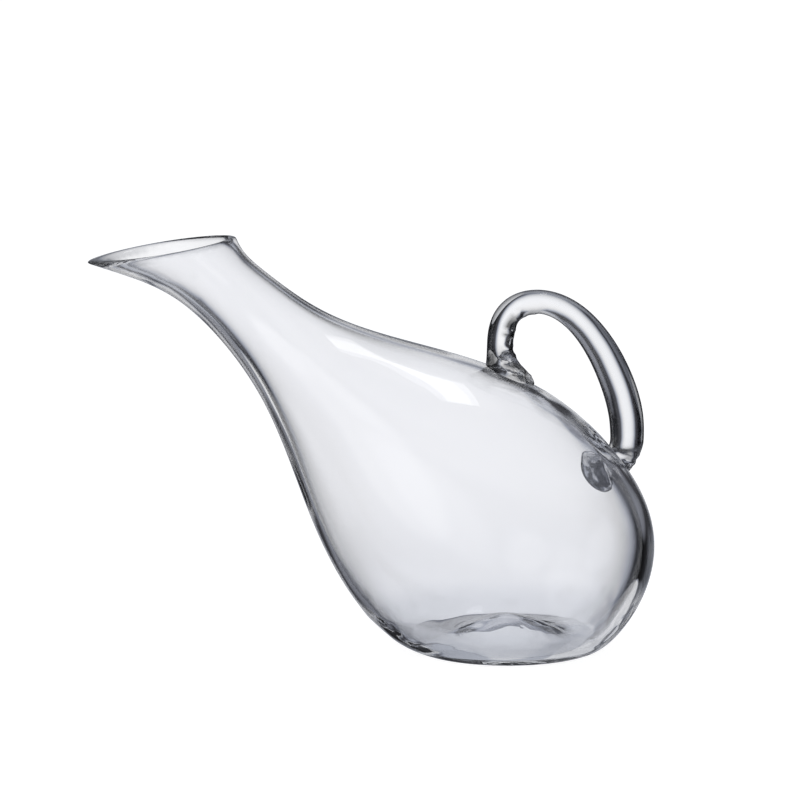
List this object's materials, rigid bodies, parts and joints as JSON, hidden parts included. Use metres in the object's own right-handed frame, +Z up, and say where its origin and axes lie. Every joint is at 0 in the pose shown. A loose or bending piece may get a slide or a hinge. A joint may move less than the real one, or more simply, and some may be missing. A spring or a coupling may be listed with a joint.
{
  "type": "wine decanter",
  "caption": "Slanted duck-shaped clear glass wine decanter with an oblique pouring mouth, a punted foot and a solid glass loop handle.",
  "frame": {"origin": "centre of the bounding box in X and Y, on the surface the decanter stands on", "axes": "+X towards the handle, -X towards the spout's tip, +Z up, XZ is the vessel's plane of symmetry"},
  "size_m": [0.311, 0.1446, 0.2291],
  "materials": {
    "vessel_glass": "clear fire-polished blown glass with a faint blue-grey tint, a few seeds and drawing lines",
    "handle_glass": "clear solid drawn glass rod, fire-polished, with shear marks at its pressed feet"
  },
  "bodies": {
    "root": {"vessel": "vessel_glass", "handle": "handle_glass"}
  },
  "joints": []
}
